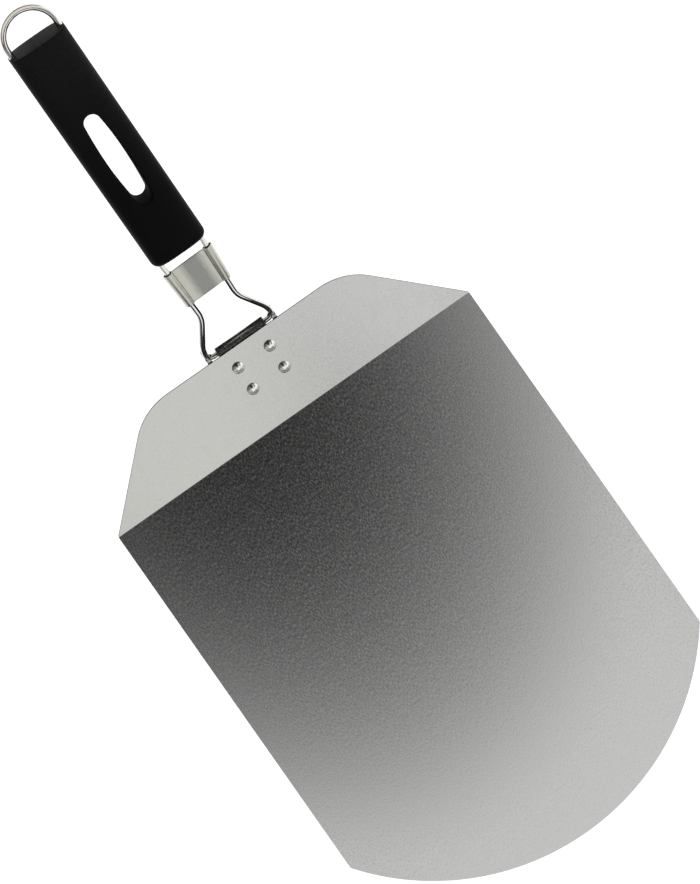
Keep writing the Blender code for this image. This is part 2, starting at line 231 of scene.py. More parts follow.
SLEEVE_STREAKS = 0.12
SLEEVE_PAINTED_SHEEN = (3.5 * MM, 8.5 * MM)  # painted reflection, from the middle: where the painted dark ends, and the painted light starts
SLEEVE_PAINTED_SHEEN_SHIFT = 1.0 * MM
SLEEVE_RELIEF = 0.003 * MM
MOULDING_SCALE = (1300, 900, 1300)
HANDLING_SCALE = (60, 40, 60)
MOULDING_DARK = (0.001, 0.001, 0.0011)
MOULDING_LIGHT = (0.0135, 0.0135, 0.014)
MOULDING_CONTRAST = (0.4, 1.6)
MOULDING_ROUGHNESS = (0.52, 0.66)
HANDLING_GLOSS = 0.05
MOULDING_SPECULAR = 0.09
MOULDING_RELIEF = 0.05 * MM
GRIP_PAINTED_LIGHT = (0.1, 0.75)  # painted light: the grip is painted greyer towards the loop, in place of the light falling off towards the hinge
GRIP_PAINTED_LIGHT_START = 116.0 * MM
GRIP_PAINTED_LIGHT_END = 200.0 * MM
# Painted shade: the slot's walls are a darker, duller copy of the grip's black.
SLOT_SHADE_COLOUR = (0.004, 0.004, 0.0045, 1)
SLOT_ROUGHNESS = 0.7
SLOT_SPECULAR = 0.02

# Studio. Places and sizes are in metres.
ROOM_STRENGTH = 0.15
WARM_LIGHT = (1.0, 1.01, 0.95, 1)
PLAIN_LIGHT = (1.0, 1.0, 1.0, 1)
CREAM_LIGHT = (1.0, 0.92, 0.82, 1)
FLAG_GLOW = 0.012
FLOOR_GLOW = 0.9
FLOOR_COLOUR = (0.92, 0.92, 0.92, 1)
FLOOR_ROUGHNESS = 0.9
FLOOR_SPECULAR = 0.1
FLOOR_RADIUS = 14
FLOOR_SIDES = 96
FLOOR_DROP = 0.2 * MM  # below the blade
CARD_HEIGHT = 0.5
CARD_CENTRE = (0, 0.02)
CARD_SIZE = (0.534, 0.76)
CARD_DARK = 0.0185
CARD_LIGHT = 1.048
OVAL_CENTRE = (0.04, -0.292)
OVAL_RADII = (0.3025, 0.48)
OVAL_POWER = 3.78
SIDE_FLAG_HALF_SPACING = 16.5 * MM
SIDE_FLAG_START = 4.0 * MM
SIDE_FLAG_END = 31.0 * MM
STANDING_FLAG_MIDDLE = -14.0 * MM  # from the plane of the legs
STANDING_FLAG_HEIGHT = 48.0 * MM
LOOP_FLAG_START = 216.5 * MM
LOOP_FLAG_END = 231.0 * MM
ARC_FLAG_ALONG = 227.5 * MM
ARC_FLAG_DROP = 7.0 * MM
ARC_FLAG_SIZE = (20.0 * MM, 7.0 * MM)
SOFTBOXES = (  # name, centre, size, strength, colour
    ("front_box", (0.118, 0.63, 0.6), (0.35, 0.62), 1.095, WARM_LIGHT),
    ("cool_box", (-0.183, 0.63, 0.6), (0.2, 0.62), 1.135, PLAIN_LIGHT),
    ("left_wing", (0.67, 0.47, 0.5), (0.75, 0.62), 0.5, WARM_LIGHT),
    ("right_wing", (-0.67, 0.47, 0.5), (0.75, 0.62), 1.05, PLAIN_LIGHT),
    ("side_box", (-1.05, -0.2, 0.5), (1.4, 0.8), 1.2, WARM_LIGHT),
)
LOOP_BOX_CENTRE = (0, -0.43, 0.235)
LOOP_BOX_SIZE = (0.3, 0.16)
LOOP_BOX_STRENGTH = 0.9
HINGE_FLAG_Y = -0.2005
HINGE_FLAGS = (  # middle along X, width, lower edge, upper edge
    (0, 0.035, 0.0315, 0.056),
    (0, 0.064, 0.038, 0.056),
    (0, 0.064, 0.0315, 0.0345),
    (-0.041, 0.038, 0.038, 0.085),
    (0.041, 0.038, 0.038, 0.085),
    (-0.027, 0.011, 0.0343, 0.0382),
    (0.027, 0.011, 0.0343, 0.0382),
)
UPRIGHT = Matrix.Rotation(pi / 2, 4, "X")

# The mix node's colour sockets go by number, because its sockets share their names
MIX_FIRST_COLOUR = 6
MIX_SECOND_COLOUR = 7
MIX_RESULT_COLOUR = 2


# ---------------------------------------------------------------- shapes

def place_frame(origin):
    """The tilted frame of the heel and the handle, at a point."""
    return Matrix.Translation(origin) @ TILT_TURN


def make_piece(name, shape, place, materials, body, replaced):
    """Turn a bmesh into a finished piece that rides on a body and stands for a node."""
    mesh = bpy.data.meshes.new(name)
    shape.to_mesh(mesh)
    shape.free()
    mesh.shade_smooth()
    for material in materials:
        mesh.materials.append(material)
    piece = bpy.data.objects.new(name, mesh)
    piece.matrix_world = place
    bpy.context.scene.collection.objects.link(piece)
    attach(piece, body)
    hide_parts(replaced)
    return piece


def rounded(corners, closed=True, step=ARC_STEP):
    """Points along straight runs joined by arcs. Each corner is (x, y, radius)."""
    points = []
    for index, (x, y, radius) in enumerate(corners):
        corner = Vector((x, y))
        is_loose_end = not closed and index in (0, len(corners) - 1)
        if radius == 0 or is_loose_end:
            points.append(corner)
            continue
        before = (Vector(corners[index - 1][:2]) - corner).normalized()
        after = (Vector(corners[(index + 1) % len(corners)][:2]) - corner).normalized()
        turn = pi - before.angle(after)
        centre = corner + (before + after).normalized() * radius / cos(turn / 2)
        spoke = corner + before * radius * tan(turn / 2) - centre
        way = 1 if before.x * after.y < before.y * after.x else -1
        pieces = max(2, round(turn / step))
        for piece in range(pieces + 1):
            spin = Matrix.Rotation(way * turn * piece / pieces, 2)
            points.append(centre + spin @ spoke)
    return points


def loft(rings, closed=False):
    """Join rings of equally many points. An open loft gets a flat face at each end."""
    shape = bmesh.new()
    rows = [[shape.verts.new(point) for point in ring] for ring in rings]
    pairs = list(zip(rows, rows[1:]))
    if closed:
        pairs.append((rows[-1], rows[0]))
    else:
        shape.faces.new(rows[0])
        shape.faces.new(rows[-1])
    for low, high in pairs:
        for index in range(len(low)):
            after = (index + 1) % len(low)
            shape.faces.new((low[index], low[after], high[after], high[index]))
    bmesh.ops.recalc_face_normals(shape, faces=shape.faces)
    return shape


def tube(path, radii, sides=WIRE_SIDES):
    """A round rod along a flat path of (x, along) points, with a radius for each."""
    rings = []
    for index, (point, radius) in enumerate(zip(path, radii)):
        ahead = path[min(index + 1, len(path) - 1)] - point
        behind = point - path[max(index - 1, 0)]
        run = (ahead.normalized() + behind.normalized()).normalized()
        side = Vector((-run.y, run.x))
        ring = []
        for number in range(sides):
            angle = 2 * pi * number / sides
            x, along = point + side * radius * cos(angle)
            ring.append((x, -along, radius * sin(angle)))
        rings.append(ring)
    return loft(rings)


def turned(profile, segments):
    """Spin a profile of (radius, z) points about Z. It starts and ends on the axis."""
    shape = bmesh.new()
    verts = [shape.verts.new((radius, 0, z)) for radius, z in profile]
    edges = [shape.edges.new(pair) for pair in zip(verts, verts[1:])]
    bmesh.ops.spin(
        shape, geom=verts + edges, axis=(0, 0, 1), cent=(0, 0, 0), angle=2 * pi, steps=segments,
        use_merge=True,
    )
    bmesh.ops.remove_doubles(shape, verts=shape.verts, dist=MERGE_DISTANCE)
    bmesh.ops.recalc_face_normals(shape, faces=shape.faces)
    return shape


def cut(target, shape):
    """Cut a shape out of a piece, for good."""
    mesh = bpy.data.meshes.new("cutter")
    shape.to_mesh(mesh)
    shape.free()
    cutter = bpy.data.objects.new("cutter", mesh)
    cutter.matrix_world = target.matrix_world
    bpy.context.scene.collection.objects.link(cutter)
    modifier = target.modifiers.new("cut", "BOOLEAN")
    modifier.solver = "EXACT"
    modifier.object = cutter
    apply_modifiers(target)
    bpy.data.objects.remove(cutter, do_unlink=True)
    bpy.data.meshes.remove(mesh)


def apply_modifiers(piece):
    """Make the modified shape the piece's own mesh."""
    bpy.context.view_layer.update()
    solved = bpy.data.meshes.new_from_object(
        piece.evaluated_get(bpy.context.evaluated_depsgraph_get())
    )
    old = piece.data
    piece.modifiers.clear()
    piece.data = solved
    bpy.data.meshes.remove(old)
    solved.name = piece.name


def round_edges(piece, width, segments=3):
    """Break every sharp edge of a piece."""
    bevel = piece.modifiers.new("edges", "BEVEL")
    bevel.width = width
    bevel.segments = segments
    bevel.limit_method = "ANGLE"
    bevel.angle_limit = BEVEL_ANGLE
    bevel.harden_normals = True
    bevel.use_clamp_overlap = True


def bent_sheet(outline, cuts, bend):
    """A flat outline, cut across at some heights and bent."""
    shape = bmesh.new()
    shape.faces.new([shape.verts.new((x, y, 0)) for x, y in outline])
    for place in cuts:
        everything = shape.verts[:] + shape.edges[:] + shape.faces[:]
        bmesh.ops.bisect_plane(
            shape, geom=everything, dist=CUT_TOLERANCE, plane_co=(0, place, 0), plane_no=(0, 1, 0)
        )
    for vert in shape.verts:
        vert.co = bend(vert.co)
    return shape


def thicken(piece, thickness, rim_material=0):
    """Give a sheet its thickness. Its rim takes the material that many slots further on."""
    solid = piece.modifiers.new("thickness", "SOLIDIFY")
    solid.material_offset_rim = rim_material
    solid.thickness = thickness
    solid.offset = -1
    solid.use_even_offset = True


# ---------------------------------------------------------------- materials

class Nodes:
    """A short way to write a node tree."""

    def __init__(self, name):
        self.material = bpy.data.materials.new(name)
        self.material.use_nodes = True
        self.tree = self.material.node_tree
        self.shader = self.tree.nodes["Principled BSDF"]

    def add(self, kind, inputs=None, **settings):
        node = self.tree.nodes.new(kind)
        for name, value in settings.items():
            setattr(node, name, value)
        for name, value in (inputs or {}).items():
            self.feed(node.inputs[name], value)
        return node

    def feed(self, socket, value):
        if isinstance(value, bpy.types.NodeSocket):
            self.tree.links.new(value, socket)
        else:
            socket.default_value = value

    def shade(self, inputs):
        """Feed the shader's own sockets."""
        for name, value in inputs.items():
            self.feed(self.shader.inputs[name], value)

    def noise(self, scale, detail=2.0, roughness=0.5, turn=0.0):
        """A noise fixed to the piece, as fine along each axis as the scale says."""
        node = self.add(
            "ShaderNodeTexNoise",
            {"Vector": self.place(scale, turn), "Scale": 1.0, "Detail": detail,
             "Roughness": roughness},
        )
        return node.outputs["Fac"]

    def spread(self, value, low, high, from_low=NOISE_LOW, from_high=NOISE_HIGH):
        """Stretch a value, such as a noise, onto a range."""
        node = self.add(
            "ShaderNodeMapRange",
            {"Value": value, "From Min": from_low, "From Max": from_high, "To Min": low,
             "To Max": high},
        )
        return node.outputs["Result"]

    def math(self, operation, *values):
        node = self.add("ShaderNodeMath", operation=operation)
        for socket, value in zip(node.inputs, values):
            self.feed(socket, value)
        return node.outputs["Value"]

    def place(self, scale=(1, 1, 1), turn=0.0):
        """Object coordinates, turned about X and then stretched."""
        coordinates = self.add("ShaderNodeTexCoord").outputs["Object"]
        turned_place = self.add(
            "ShaderNodeMapping", {"Vector": coordinates, "Rotation": (turn, 0, 0)}
        )
        stretched = self.add(
            "ShaderNodeMapping", {"Vector": turned_place.outputs["Vector"], "Scale": scale}
        )
        return stretched.outputs["Vector"]

    def tint(self, value, dark, light):
        """A colour between two, by a value from 0 to 1."""
        node = self.add("ShaderNodeMix", data_type="RGBA")
        self.feed(node.inputs["Factor"], value)
        self.feed(node.inputs[MIX_FIRST_COLOUR], (*dark, 1))
        self.feed(node.inputs[MIX_SECOND_COLOUR], (*light, 1))
        return node.outputs[MIX_RESULT_COLOUR]

    def tint_by_noise(self, noise, dark, light):
        return self.tint(self.spread(noise, 0, 1), dark, light)

    def bump(self, height, distance):
        node = self.add("ShaderNodeBump", {"Height": height, "Distance": distance, "Strength": 1.0})
        self.shade({"Normal": node.outputs["Normal"]})

    def metal(self, colour, roughness):
        self.shade({"Metallic": 1.0, "Base Color": colour, "Roughness": roughness})

    def glow_only(self, glow):
        """Show an emission node in place of the surface shader."""
        output = self.tree.nodes["Material Output"]
        self.tree.links.new(glow.outputs["Emission"], output.inputs["Surface"])


def satin_sheet(name, turn, grain):
    """Satin sheet: a fine speckle of short streaks along the blade, over a soft mottle."""
    nodes = Nodes(name)
    speckle = nodes.noise(SPECKLE_SCALE, 2.0, 0.6, turn)
    mottle = nodes.noise(MOTTLE_SCALE, 2.0, 0.5, turn)
    spread = grain * SATIN_SPREAD
    fine = nodes.spread(speckle, SATIN_ROUGHNESS - spread, SATIN_ROUGHNESS + spread)
    patchy = nodes.spread(mottle, -SATIN_PATCHINESS, SATIN_PATCHINESS)
    nodes.metal(
        nodes.tint_by_noise(speckle, SATIN_DARK, SATIN_LIGHT), nodes.math("ADD", fine, patchy)
    )
    nodes.bump(speckle, grain * SATIN_RELIEF)
    return nodes.material


def sheared_edge_painted_shade():
    """The sheet's cut edge: rougher and darker than its faces, painted nearly black as painted
    shade for the dark line along its rim.
    """
    nodes = Nodes("sheared_edge_painted_shade")
    tearing = nodes.noise(CUT_EDGE_SCALE, 3.0)
    nodes.metal(nodes.tint_by_noise(tearing, CUT_EDGE_SHADE_DARK, CUT_EDGE_SHADE_LIGHT), CUT_EDGE_ROUGHNESS)
    return nodes.material


def plated_steel():
    """The bracket's semi-bright plating, uneven from rolling."""
    nodes = Nodes("bracket_steel")
    rolling = nodes.noise(PLATED_SCALE, 3.0, 0.6)
    nodes.metal(
        nodes.tint_by_noise(rolling, PLATED_DARK, PLATED_LIGHT),
        nodes.spread(rolling, *PLATED_ROUGHNESS),
    )
    nodes.bump(rolling, PLATED_RELIEF)
    return nodes.material


def bright_rivet_steel():
    """Bright rivets with light scuffs."""
    nodes = Nodes("rivet_steel")
    scuffs = nodes.noise(RIVET_SCALE, 3.0)
    nodes.metal(
        nodes.tint_by_noise(scuffs, RIVET_DARK, RIVET_LIGHT),
        nodes.spread(scuffs, *RIVET_ROUGHNESS),
    )
    nodes.bump(scuffs, RIVET_RELIEF)
    return nodes.material


def polished_wire():
    """Plated wire with faint lines drawn along it."""
    nodes = Nodes("polished_wire")
    lines = nodes.noise(DRAWN_LINE_SCALE, 2.0)
    smears = nodes.noise(SMEAR_SCALE, 2.0)
    nodes.metal(
        nodes.tint_by_noise(lines, WIRE_DARK, WIRE_LIGHT), nodes.spread(smears, *WIRE_ROUGHNESS)
    )
    nodes.bump(lines, WIRE_RELIEF)
    return nodes.material


def brushed_sleeve_steel():
    """Warm grey steel with a soft painted sheen: a painted reflection, darker along the middle of
    its panels.
    """
    nodes = Nodes("sleeve_steel")
    brushing = nodes.noise(BRUSHING_SCALE, 3.0, 0.6)
    across = nodes.add("ShaderNodeSeparateXYZ", {"Vector": nodes.place()}).outputs["X"]
    # Painted reflection: the panels are painted darker along their middle and lighter towards their
    # creases.
    from_middle = nodes.math("ABSOLUTE", nodes.math("ADD", across, SLEEVE_PAINTED_SHEEN_SHIFT))
    painted_sheen_share = nodes.spread(from_middle, 0, 1, *SLEEVE_PAINTED_SHEEN)
    streaks = nodes.spread(brushing, -SLEEVE_STREAKS, SLEEVE_STREAKS)
    sheen = nodes.math("ADD", painted_sheen_share, streaks)
    nodes.metal(nodes.tint(sheen, SLEEVE_DARK, SLEEVE_LIGHT), SLEEVE_ROUGHNESS)
    nodes.bump(brushing, SLEEVE_RELIEF)
    return nodes.material


def moulded_black():
    """Soft-touch moulding with a fine spark-eroded texture, painted greyer towards the loop as
    painted light.
    """
    nodes = Nodes("black_grip")
    texture = nodes.noise(MOULDING_SCALE, 3.0, 0.7)
    handling = nodes.noise(HANDLING_SCALE, 2.0)
    along = nodes.add("ShaderNodeSeparateXYZ", {"Vector": nodes.place()}).outputs["Y"]
    # Painted light: the colour greys towards the loop, standing in for the light falling off
    # towards the hinge.
    painted_light = nodes.spread(along, *GRIP_PAINTED_LIGHT, -GRIP_PAINTED_LIGHT_START, -GRIP_PAINTED_LIGHT_END)
    greyness = nodes.math("MULTIPLY", painted_light, nodes.spread(texture, *MOULDING_CONTRAST))
    texture_gloss = nodes.spread(texture, *MOULDING_ROUGHNESS)
    handling_gloss = nodes.spread(handling, -HANDLING_GLOSS, HANDLING_GLOSS)
    nodes.shade({
        "Base Color": nodes.tint(greyness, MOULDING_DARK, MOULDING_LIGHT),
        "Roughness": nodes.math("ADD", texture_gloss, handling_gloss),
        "Specular IOR Level": MOULDING_SPECULAR,
    })
    nodes.bump(texture, MOULDING_RELIEF)
    return nodes.material


def shaded_black():
    """The grip's material inside the slot, painted darker and duller as painted shade, where hardly
    any light comes back out.
    """
    nodes = Nodes("slot_wall")
    nodes.shade({
        "Base Color": SLOT_SHADE_COLOUR, "Roughness": SLOT_ROUGHNESS, "Specular IOR Level": SLOT_SPECULAR,
    })
    return nodes.material


# ---------------------------------------------------------------- blade

def sheet_outline():
    """Flat pattern of blade and heel. The fold line is y = 0 and the heel lies below it."""
    half = BLADE_WIDTH / 2
    rise = BLADE_LENGTH - SIDE_LENGTH
    front_radius = (half ** 2 + rise ** 2) / (2 * rise)
    centre_y = BLADE_LENGTH - front_radius
    half_sweep = asin(half / front_radius)
    corners = [(half, SIDE_LENGTH, BLADE_CORNER_RADIUS)]
    for piece in range(1, FRONT_ARC_PIECES):
        angle = pi / 2 + half_sweep * (2 * piece / FRONT_ARC_PIECES - 1)
        corners.append((front_radius * cos(angle), centre_y + front_radius * sin(angle), 0))
    corners += [
        (-half, SIDE_LENGTH, BLADE_CORNER_RADIUS),
        (-half, 0, BLADE_CORNER_RADIUS),
        (-HEEL_WIDTH / 2, -HEEL_DEPTH, HEEL_CORNER_RADIUS),
        (HEEL_WIDTH / 2, -HEEL_DEPTH, HEEL_CORNER_RADIUS),
        (half, 0, BLADE_CORNER_RADIUS),
    ]
    return rounded(corners)


def fold_up(point):
    """Bend a point of the flat pattern about the fold line, on the sheet's top face."""
    reach = BEND_RADIUS * tan(TILT / 2)
    if point.y >= reach:
        return point
    if point.y <= -reach:
        return Vector((point.x, point.y * cos(TILT), -point.y * sin(TILT)))
    turn = TILT * (reach - point.y) / (2 * reach)
    return Vector((point.x, reach - BEND_RADIUS * sin(turn), BEND_RADIUS * (1 - cos(turn))))


def make_blade():
    """Blade and heel, cut as one flat sheet, folded up and thickened."""
    reach = BEND_RADIUS * tan(TILT / 2)
    cuts = [reach * (2 * line / BEND_PIECES - 1) for line in range(BEND_PIECES + 1)]
    shape = bent_sheet(sheet_outline(), cuts, fold_up)
    for face in shape.faces:
        face.material_index = 1 if face.calc_center_median().y < 0 else 0
    edge = sheared_edge_painted_shade()
    materials = [
        satin_sheet("blade_steel", 0.0, BLADE_GRAIN),
        satin_sheet("heel_steel", TILT, HEEL_GRAIN),
        edge,
        edge,
    ]
    piece = make_piece(
        "blade_sheet", shape, Matrix.Translation(FOLD_LINE), materials, "blade",
        "blade",
    )
    thicken(piece, SHEET, rim_material=2)
    apply_modifiers(piece)
    round_edges(piece, BLADE_BEVEL)
    apply_modifiers(piece)


# ---------------------------------------------------------------- hinge bracket and rivets

def bracket_outline(tongue):
    """Plate under the heel, with a stop tab for each leg and a tongue that carries the hook."""
    tab = STOP_TAB_WIDTH / 2
    tab_end = -AXIS_DEEP - STOP_TAB_REACH
    right_side = [
        (BRACKET_HALF_WIDTH, -BRACKET_START, BRACKET_CORNER_RADIUS),
        (BRACKET_HALF_WIDTH, -BRACKET_EDGE, STOP_TAB_RADIUS),
        (LEG_HALF_SPACING + tab, -BRACKET_EDGE, 0),
        (LEG_HALF_SPACING + tab, tab_end, STOP_TAB_RADIUS),
        (LEG_HALF_SPACING - tab, tab_end, STOP_TAB_RADIUS),
        (LEG_HALF_SPACING - tab, -BRACKET_EDGE, STOP_TAB_RADIUS),
        (HOOK_HALF_WIDTH, -BRACKET_EDGE, STOP_TAB_RADIUS),
        (HOOK_HALF_WIDTH, -AXIS_DEEP - tongue, 0),
    ]
    left_side = [(-x, y, radius) for x, y, radius in reversed(right_side)]
    return rounded(right_side + left_side, step=BRACKET_ARC_STEP)


def make_bracket(heel_place):
    """The plate under the heel, with its tongue curled up into the hinge's hook."""
    top = -SHEET - BRACKET_GAP
    inner = AXIS_HEIGHT - top
    sweep = pi - HOOK_END_ANGLE
    tongue = sweep * inner
    cuts = [-AXIS_DEEP - tongue * piece / HOOK_PIECES for piece in range(HOOK_PIECES)]

    def curl(point):
        past = -AXIS_DEEP - point.y
        if past <= 0 or abs(point.x) > HOOK_HALF_WIDTH + HOOK_MARGIN:
            return Vector((point.x, point.y, top))
        turn = past / inner
        return Vector((point.x, -AXIS_DEEP - inner * sin(turn), AXIS_HEIGHT - inner * cos(turn)))

    shape = bent_sheet(bracket_outline(tongue)[::-1], cuts, curl)
    piece = make_piece(
        "bracket_plate", shape, heel_place, [plated_steel()], "blade",
        "hinge_bracket",
    )
    thicken(piece, BRACKET_SHEET)
    apply_modifiers(piece)
    round_edges(piece, BRACKET_BEVEL)
    apply_modifiers(piece)


def rivet_places():
    """Where the rivets sit on the heel: (x, y) in its frame."""
    return [(x, -deep) for deep in RIVET_ROWS for x in (-RIVET_HALF_SPACING, RIVET_HALF_SPACING)]


def rivet_profile():
    """Half section of a rivet: domed head, shank and upset tail."""
    rise = RIVET_HEAD_HEIGHT - RIVET_LIP_HEIGHT
    dome_radius = (RIVET_HEAD_RADIUS ** 2 + rise ** 2) / (2 * rise)
    sweep = asin(RIVET_HEAD_RADIUS / dome_radius)
    profile = [(0, RIVET_HEAD_HEIGHT)]
    for ring in range(1, RIVET_HEAD_RINGS + 1):
        angle = sweep * ring / RIVET_HEAD_RINGS
        drop = dome_radius * (1 - cos(angle))
        profile.append((dome_radius * sin(angle), RIVET_HEAD_HEIGHT - drop))
    tail_top = -SHEET - BRACKET_GAP - BRACKET_SHEET
    tail_end = tail_top - RIVET_TAIL_HEIGHT
    shoulder_in, shoulder_down = RIVET_TAIL_SHOULDER
    profile += [
        (RIVET_HEAD_RADIUS, RIVET_LIP_CHAMFER),
        (RIVET_HEAD_RADIUS - RIVET_LIP_CHAMFER, 0),
        (RIVET_SHANK_RADIUS, 0),
        (RIVET_SHANK_RADIUS, tail_top),
        (RIVET_TAIL_RADIUS - shoulder_in, tail_top),
        (RIVET_TAIL_RADIUS, tail_top - shoulder_down),
        (RIVET_TAIL_RADIUS, tail_end + RIVET_TAIL_CHAMFER),
        (RIVET_TAIL_RADIUS - RIVET_TAIL_CHAMFER, tail_end),
        (0, tail_end),
    ]
    return profile


def make_rivets(heel_place):
    """Four rivets through heel and bracket."""
    steel = bright_rivet_steel()
    for number, (x, y) in enumerate(rivet_places(), start=1):
        shape = turned(rivet_profile(), RIVET_SEGMENTS)
        place = heel_place @ Matrix.Translation((x, y, 0))
        piece = make_piece(
            f"rivet_head_{number}", shape, place, [steel], "blade",
            f"rivet_{number}",
        )
        piece.data.set_sharp_from_angle(angle=RIVET_SHARP_ANGLE)


# ---------------------------------------------------------------- wire frame

def leg_path():
    """Centre line of the right leg, from its hinge stub to the hanging loop: (x, along)."""
    return rounded(
        [
            (STUB_END, 0, 0),
            (LEG_HALF_SPACING, 0, STUB_BEND_RADIUS),
            (LEG_HALF_SPACING, SPLAY_START, SPLAY_START_RADIUS),
            (WAIST_HALF_SPACING, WAIST_ALONG, WAIST_RADIUS),
            (GRIP_ENTRY_HALF_SPACING, GRIP_ENTRY_ALONG, GRIP_ENTRY_RADIUS),
            (LOOP_RADIUS, LOOP_ALONG, 0),
        ],
        closed=False,
    )


def leg_spacing(along):
    """Half of the distance between the legs, where the sleeve slides on them."""
    share = (along - WAIST_ALONG) / (GRIP_ENTRY_ALONG - WAIST_ALONG)
    return WAIST_HALF_SPACING + share * (GRIP_ENTRY_HALF_SPACING - WAIST_HALF_SPACING)


def make_wire_frame(hinge_place):
    """The one wire: both stubs, both legs and the hanging loop."""
    right = leg_path()
    tip = right[0] + Vector((WIRE_END_CHAMFER, 0))
    right = [right[0], tip] + right[1:]
    loop = []
    for piece in range(1, LOOP_PIECES):
        angle = pi * piece / LOOP_PIECES
        loop.append(Vector((LOOP_RADIUS * cos(angle), LOOP_ALONG + LOOP_RADIUS * sin(angle))))
    left = [Vector((-point.x, point.y)) for point in reversed(right)]
    path = right + loop + left
    end_radius = WIRE_RADIUS - WIRE_END_CHAMFER
    radii = [end_radius] + [WIRE_RADIUS] * (len(path) - 2) + [end_radius]
    piece = make_piece(
        "wire_handle", tube(path, radii), hinge_place, [polished_wire()], "handle",
        "wire_frame",
    )
    piece.data.set_sharp_from_angle(angle=WIRE_SHARP_ANGLE)


# ---------------------------------------------------------------- grip

def grip_ring(inset, along, rake=0):
    """One section of the grip: a squarish ellipse, pulled in all round by the inset."""
    ring = []
    for number in range(GRIP_SECTION_POINTS):
        angle = 2 * pi * (number + 0.5) / GRIP_SECTION_POINTS
        across = copysign(abs(cos(angle)) ** (2 / GRIP_SQUARENESS), cos(angle))
        up = copysign(abs(sin(angle)) ** (2 / GRIP_SQUARENESS), sin(angle))
        z = up * (GRIP_THICKNESS / 2 - inset)
        ring.append((across * (GRIP_WIDTH / 2 - inset), z * tan(rake) - along, z))
    return ring


def slot_ring(flare, z):
    """Outline of the finger slot, widened by the flare: bowed sides and round ends."""
    end_radius = SLOT_END_WIDTH / 2 + flare
    bow = (SLOT_WIDTH - SLOT_END_WIDTH) / 2
    middle = (SLOT_START + SLOT_END) / 2
    half_side = (SLOT_END - SLOT_START) / 2 - SLOT_END_WIDTH / 2
    right = []
    for piece in range(SLOT_SIDE_PIECES + 1):
        share = 2 * piece / SLOT_SIDE_PIECES - 1
        right.append((end_radius + bow * (1 - share ** 2), -middle + half_side * share, z))
    cap = []
    for piece in range(1, SLOT_CAP_PIECES):
        angle = pi * piece / SLOT_CAP_PIECES
        y = -middle + half_side + end_radius * sin(angle)
        cap.append((end_radius * cos(angle), y, z))
    half_outline = right + cap
    return half_outline + [(-x, -2 * middle - y, z) for x, y, z in half_outline]


def grip_top(x):
    """Height of the grip's top face above its middle, at a distance from the centre line."""
    share = abs(x) / (GRIP_WIDTH / 2)
    return GRIP_THICKNESS / 2 * (1 - share ** GRIP_SQUARENESS) ** (1 / GRIP_SQUARENESS)


def slot_cutter():
    """The slot, flared at both faces so that its rims come out rounded."""
    rim = grip_top(SLOT_WIDTH / 2 + SLOT_RIM_RADIUS)
    upper = []
    for piece in range(SLOT_RIM_PIECES + 1):
        angle = pi / 2 * piece / SLOT_RIM_PIECES
        flare = SLOT_RIM_RADIUS * (1 - cos(angle))
        upper.append((flare, rim - SLOT_RIM_RADIUS * (1 - sin(angle))))
    upper.append((SLOT_MOUTH_FLARE, rim + SLOT_MOUTH_STEP))
    upper.append((SLOT_MOUTH_FLARE, GRIP_THICKNESS))
    levels = [(flare, -z) for flare, z in reversed(upper)] + upper
    return loft([slot_ring(flare, z) for flare, z in levels])


def is_slot_wall(face):
    """Whether a face of the finished grip is a steep one inside the finger slot."""
    is_in_slot_length = SLOT_START - SLOT_RIM_RADIUS < -face.center.y < SLOT_END + SLOT_RIM_RADIUS
    is_in_slot_width = abs(face.center.x) < SLOT_WIDTH
    return is_in_slot_length and is_in_slot_width and abs(face.normal.z) < SLOT_WALL_STEEPNESS


def make_grip(hinge_place):
    """The moulded grip, with its finger slot and a bore for each leg."""
    rings = []
    for piece in range(GRIP_NOSE_PIECES + 1):
        angle = pi / 2 * piece / GRIP_NOSE_PIECES
        inset = GRIP_NOSE_RADIUS * (1 - sin(angle))
        rings.append(grip_ring(inset, GRIP_START + GRIP_NOSE_RADIUS * (1 - cos(angle))))
    for piece in range(GRIP_RIM_PIECES + 1):
        angle = pi / 2 * piece / GRIP_RIM_PIECES
        inset = GRIP_RIM_RADIUS * (1 - cos(angle))
        along = GRIP_END - GRIP_RIM_RADIUS * (1 - sin(angle))
        rings.append(grip_ring(inset, along, GRIP_END_RAKE))
    piece = make_piece(
        "grip_moulding", loft(rings), hinge_place, [moulded_black(), shaded_black()], "handle",
        "grip",
    )
    cut(piece, slot_cutter())
    for face in piece.data.polygons:
        if is_slot_wall(face):
            face.material_index = 1
    right = [point for point in leg_path() if point.y > WAIST_ALONG]
    left = [Vector((-point.x, point.y)) for point in right]
    radii = [WIRE_RADIUS + BORE_CLEARANCE] * len(right)
    for path in (right, left):
        cut(piece, tube(path, radii, sides=BORE_SIDES))
    piece.data.shade_smooth()
    piece.data.set_sharp_from_angle(angle=GRIP_SHARP_ANGLE)


# ---------------------------------------------------------------- lock sleeve

def sleeve_ring(along, spacing, lobe, middle):
    """A dog-bone: a round lobe about each leg, joined by two slightly crowned panels."""
    crease = sqrt(lobe ** 2 - middle ** 2)
    open_angle = atan2(middle, -crease)
    right = []
    for piece in range(SLEEVE_LOBE_PIECES + 1):
        angle = open_angle * (2 * piece / SLEEVE_LOBE_PIECES - 1)
        x = spacing + lobe * cos(angle)
        right.append((x, SLEEVE_SLANT * x - along, lobe * sin(angle)))
    half_panel = spacing - crease
    for piece in range(1, SLEEVE_PANEL_PIECES):
        share = 1 - 2 * piece / SLEEVE_PANEL_PIECES
        x = half_panel * share
        right.append((x, SLEEVE_SLANT * x - along, middle + SLEEVE_CROWN * (1 - share ** 2)))
    return right + [(-x, -2 * along - y, -z) for x, y, z in right]


